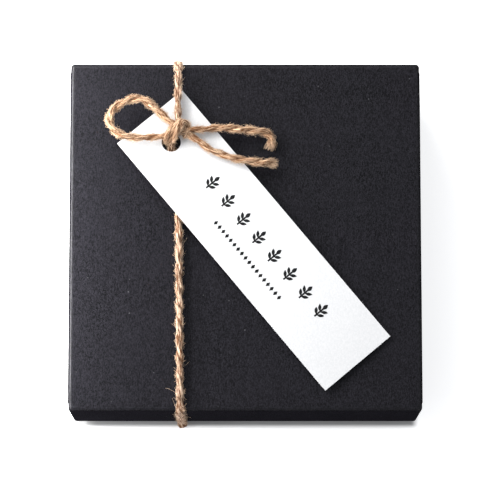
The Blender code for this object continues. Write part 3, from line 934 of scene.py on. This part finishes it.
def outline(half_x, half_y, radius):
    """Points round a rectangle with round corners, anticlockwise from the front right corner.

    The paper's left and right flaps lie over the front and back ones, so those sides stand a
    paper's thickness proud, from a cut edge that runs just past each corner.
    """
    corners = []
    for sign_x, sign_y, start in ((1, -1, -90), (1, 1, 0), (-1, 1, 90), (-1, -1, 180)):
        turns = [radians(start + 90 * i / CORNER_STEPS) for i in range(CORNER_STEPS + 1)]
        middle = Vector((sign_x * (half_x - radius), sign_y * (half_y - radius)))
        corners.append([middle + radius * Vector((cos(a), sin(a))) for a in turns])
    points = []
    for side, (corner, following) in enumerate(zip(corners, corners[1:] + corners[:1])):
        points += corner
        long = (following[0] - corner[-1]).length
        cut = SEAM_INSET / long
        step = SEAM_STEP / long
        shares = [cut, cut + step] + evenly(cut + step, 1 - cut - step, SIDE_STEPS)[1:-1]
        shares += [1 - cut - step, 1 - cut]
        outward = (1, 0, -1, 0)[side] * SEAM_PROUD
        for share in shares:
            lift = outward if cut + step <= share <= 1 - cut - step else 0
            points.append(corner[-1].lerp(following[0], share) + Vector((lift, 0)))
    return points


def cover(name, half_x, half_y, profile, closed, material, ripple):
    """Covering paper swept round a box by its profile of (inset, height) pairs."""
    bm = bmesh.new()
    rings = []
    for inset, z in profile:
        radius = max(UPRIGHT - inset, 0.35 * MM)
        points = outline(half_x - inset, half_y - inset, radius)
        rings.append([bm.verts.new((p.x, p.y, z)) for p in points])
    for upper, lower in zip(rings, rings[1:]):
        for i in range(len(upper)):
            j = (i + 1) % len(upper)
            bm.faces.new((upper[i], lower[i], lower[j], upper[j]))
    if closed:
        bm.faces.new(rings[0])
    for v in bm.verts:
        where = v.co * 45
        lift = noise.noise(where) + 0.5 * noise.noise(where * 2.3 + Vector((7, 3, 1)))
        v.co += ripple * lift * Vector((0.25, 0.25, 1.0 if abs(v.co.z - LID_TOP) < MM else 0.0))
    bm.normal_update()
    mesh = bpy.data.meshes.new(name)
    bm.to_mesh(mesh)
    bm.free()
    mesh.shade_smooth()
    mesh.set_sharp_from_angle(angle=radians(35))
    thing = piece_from(mesh, name, material)
    wall = thing.modifiers.new("paper", "SOLIDIFY")
    wall.thickness = PAPER
    wall.offset = -1.0
    wall.use_even_offset = True
    return thing


def round_fold(inset, z, radius, first, steps=3):
    """A quarter turn of a cover's profile round this middle, from this many degrees on."""
    turns = evenly(radians(first), radians(first + 90), steps)
    return [(inset - radius * sin(a), z + radius * cos(a)) for a in turns]


def build_lid_paper():
    """The lid's cover: top, walls, round the rim and up the inside."""
    lip = 0.35 * MM
    profile = [(inset, LID_TOP) for inset in evenly(LID_HALF_X - 3 * MM, FOLD * 1.6, 14)]
    profile += round_fold(FOLD, LID_TOP - FOLD, FOLD, 0, 6)
    profile += [(0.0, z) for z in evenly(LID_TOP - FOLD, RIM + lip, 12)[1:]]
    profile += round_fold(lip, RIM + lip, lip, 90)[1:]
    profile += round_fold(WALL - lip, RIM + lip, lip, 180)
    profile += [(WALL, z) for z in evenly(RIM + lip, RIM + TURN_IN, 5)[1:]]
    paper = cover("lid_paper", LID_HALF_X, LID_HALF_Y, profile, True, LID_PAPER, 0.06 * MM)
    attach(paper, "lid")
    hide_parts("lid_wrap")


def build_base_paper():
    """The base's cover: under the floor, up the walls, over the rim and down the inside."""
    lip = 0.4 * MM
    low, high = base_low[2], base_high[2]
    profile = [(WALL, z) for z in evenly(high - TURN_IN, high - lip, 5)]
    profile += round_fold(WALL - lip, high - lip, lip, -90)[1:]
    profile += round_fold(lip, high - lip, lip, 0)
    profile += [(0.0, z) for z in evenly(high - lip, low + lip, 12)[1:]]
    profile += round_fold(lip, low + lip, lip, 90)[1:]
    profile += [(inset, low) for inset in evenly(lip, TURN_UNDER, 4)[1:]]
    paper = cover("base_paper", base_high[0], base_high[1], profile, False, BASE_PAPER, 0.04 * MM)
    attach(paper, "base")
    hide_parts("base_wrap")


# ---------------------------------------------------------------- tag

TAG_PLACE = (
    Matrix.Translation((*TAG_HOLE_AT, tag_under(TAG_HOLE_AT[0])))
    @ Matrix.Rotation(TAG_TILT, 4, "Y")
    @ Matrix.Rotation(TAG_YAW, 4, "Z")
)


def tag_lift(x, y):
    """The card's slight natural bow, as a height at a place measured from its hole."""
    share = (x + TAG_HOLE_INSET) / TAG_LENGTH
    return 0.12 * MM * sin(pi * share) + 0.05 * MM * (2 * y / TAG_WIDTH) ** 2


def bend_card(mesh):
    """Bows a flat mesh made round the tag's hole, and lays it in the tag's place."""
    for v in mesh.vertices:
        v.co.z += tag_lift(v.co.x, v.co.y)
    mesh.transform(TAG_PLACE)


def flat_outline(name, outlines, thickness):
    """A flat sheet of this thickness from closed outlines, standing on z = 0, as a bmesh."""
    curve = bpy.data.curves.new(name, "CURVE")
    curve.dimensions = "2D"
    curve.fill_mode = "BOTH"
    curve.extrude = thickness / 2
    for points in outlines:
        spline = curve.splines.new("POLY")
        spline.points.add(len(points) - 1)
        for point, (x, y) in zip(spline.points, points):
            point.co = (x, y, 0, 1)
        spline.use_cyclic_u = True
    thing = bpy.data.objects.new(name, curve)
    bpy.context.collection.objects.link(thing)
    made = settled(thing, name)
    bm = bmesh.new()
    bm.from_mesh(made.data)
    bpy.data.objects.remove(made)
    bmesh.ops.translate(bm, vec=(0, 0, thickness / 2), verts=bm.verts)
    bmesh.ops.remove_doubles(bm, verts=bm.verts, dist=0.001 * MM)
    return bm


def cut_across(bm, axis, places):
    """Lines across a flat sheet, so that it can bend."""
    direction = Vector((1, 0, 0)) if axis == 0 else Vector((0, 1, 0))
    for place in places:
        everything = bm.verts[:] + bm.edges[:] + bm.faces[:]
        bmesh.ops.bisect_plane(bm, geom=everything, plane_co=direction * place, plane_no=direction)


def build_tag():
    near, far = -TAG_HOLE_INSET, TAG_LENGTH - TAG_HOLE_INSET
    half = TAG_WIDTH / 2
    edge = [(near, -half), (far, -half), (far, half), (near, half)]
    hole = [(TAG_HOLE / 2 * cos(a), TAG_HOLE / 2 * sin(a)) for a in evenly(0, 2 * pi, 64)[:-1]]
    bm = flat_outline("tag", [edge, hole], TAG_THICK)
    cut_across(bm, 0, evenly(near, far, 40)[1:-1])
    cut_across(bm, 1, evenly(-half, half, 8)[1:-1])
    mesh = bpy.data.meshes.new("tag_sheet")
    bm.to_mesh(mesh)
    bm.free()
    bend_card(mesh)
    tag = piece_from(mesh, "tag_sheet", WHITE_CARD)
    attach(tag, "tag")
    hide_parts("tag_card")


def leaf(root, angle, length, width):
    """A pointed leaf's outline from its root."""
    sweep = evenly(0, 1, 8)
    one = [(length * t, width / 2 * sin(pi * t)) for t in sweep]
    other = [(length * t, -width / 2 * sin(pi * t)) for t in sweep[1:-1][::-1]]
    turn = Matrix.Rotation(angle, 2)
    return [tuple(Vector(root) + turn @ Vector(p)) for p in one + other]


def sprig():
    """One printed motif: a stem with two pairs of leaves and a bud, upright along Y."""
    stem = 0.55 * MM
    outlines = [[(-stem / 2, -2.7 * MM), (stem / 2, -2.7 * MM), (stem / 2, 1.2 * MM), (-stem / 2, 1.2 * MM)]]
    outlines.append(leaf((0, 0.6 * MM), pi / 2, 2.3 * MM, 1.25 * MM))
    for y in (-1.9 * MM, -0.4 * MM):
        for side in (-1, 1):
            angle = pi / 2 - side * radians(48)
            outlines.append(leaf((side * stem * 0.3, y), angle, 2.4 * MM, 1.0 * MM))
    return outlines


def row_tree():
    """A row of copies of one motif along X."""
    tree, given, end = group(
        "printed row",
        "GeometryNodeTree",
        [
            ("Geometry", "NodeSocketGeometry", None),
            ("Count", "NodeSocketInt", 8),
            ("Spacing", "NodeSocketFloat", 7.84 * MM),
            ("Start", "NodeSocketVector", None),
            ("Material", "NodeSocketMaterial", None),
        ],
        [("Geometry", "NodeSocketGeometry")],
    )
    row = add(
        tree, "GeometryNodeMeshLine",
        {"Count": given["Count"], "Start Location": given["Start"],
         "Offset": vector_of(tree, given["Spacing"])},
    )
    copies = add(tree, "GeometryNodeInstanceOnPoints",
                 {"Points": row.outputs[0], "Instance": given["Geometry"]})
    real = add(tree, "GeometryNodeRealizeInstances", {"Geometry": copies.outputs[0]})
    inked = add(tree, "GeometryNodeSetMaterial",
                {"Geometry": real.outputs[0], "Material": given["Material"]})
    feed(tree, end.inputs["Geometry"], inked.outputs[0])
    return tree


def printed_row(name, outlines, count, spacing, start):
    """A row of one printed motif, whose outlines may overlap."""
    motif = bmesh.new()
    for points in outlines:
        part = flat_outline(name, [points], INK_THICK)
        scratch = bpy.data.meshes.new(name)
        part.to_mesh(scratch)
        part.free()
        motif.from_mesh(scratch)
        bpy.data.meshes.remove(scratch)
    mesh = bpy.data.meshes.new(name)
    motif.to_mesh(mesh)
    motif.free()
    thing = piece_from(mesh, name, INK)
    modifier = thing.modifiers.new("printed row", "NODES")
    modifier.node_group = row_tree()
    set_inputs(modifier, Count=count, Spacing=spacing, Start=start, Material=INK)
    made = settled(thing, name)
    made.data.transform(Matrix.Translation((0, 0, TAG_THICK + INK_THICK / 2)))
    bend_card(made.data)
    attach(made, "tag")
    return made


def build_print():
    """A row of sprigs and a finer row of lozenges, where a greeting would be."""
    place = (SPRIGS_FROM - TAG_HOLE_INSET, 1.8 * MM, 0)
    printed_row("tag_sprigs", sprig(), SPRIGS, SPRIG_STEP, place)
    lozenge = [[(-0.6 * MM, 0), (0, -0.9 * MM), (0.6 * MM, 0), (0, 0.9 * MM)]]
    place = (LOZENGES_FROM - TAG_HOLE_INSET, -5.6 * MM, 0)
    printed_row("tag_lozenges", lozenge, LOZENGES, LOZENGE_STEP, place)


# ---------------------------------------------------------------- the CAD's own pieces


def dress_frame_pieces():
    """Boards, tape and linings keep their shapes and get their finishes."""
    finishes = {"board": GREY_BOARD, "stay": KRAFT_TAPE, "lining": LID_PAPER, "sheet": BASE_PAPER}
    for name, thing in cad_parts.items():
        found = [finish for word, finish in finishes.items() if word in name]
        if found:
            thing.data.materials.clear()
            thing.data.materials.append(found[0])


def build():
    build_camera()
    build_tie()
    build_bow()
    build_studio()
    build_floor()
    build_lid_paper()
    build_base_paper()
    build_tag()
    build_print()
    dress_frame_pieces()


build()
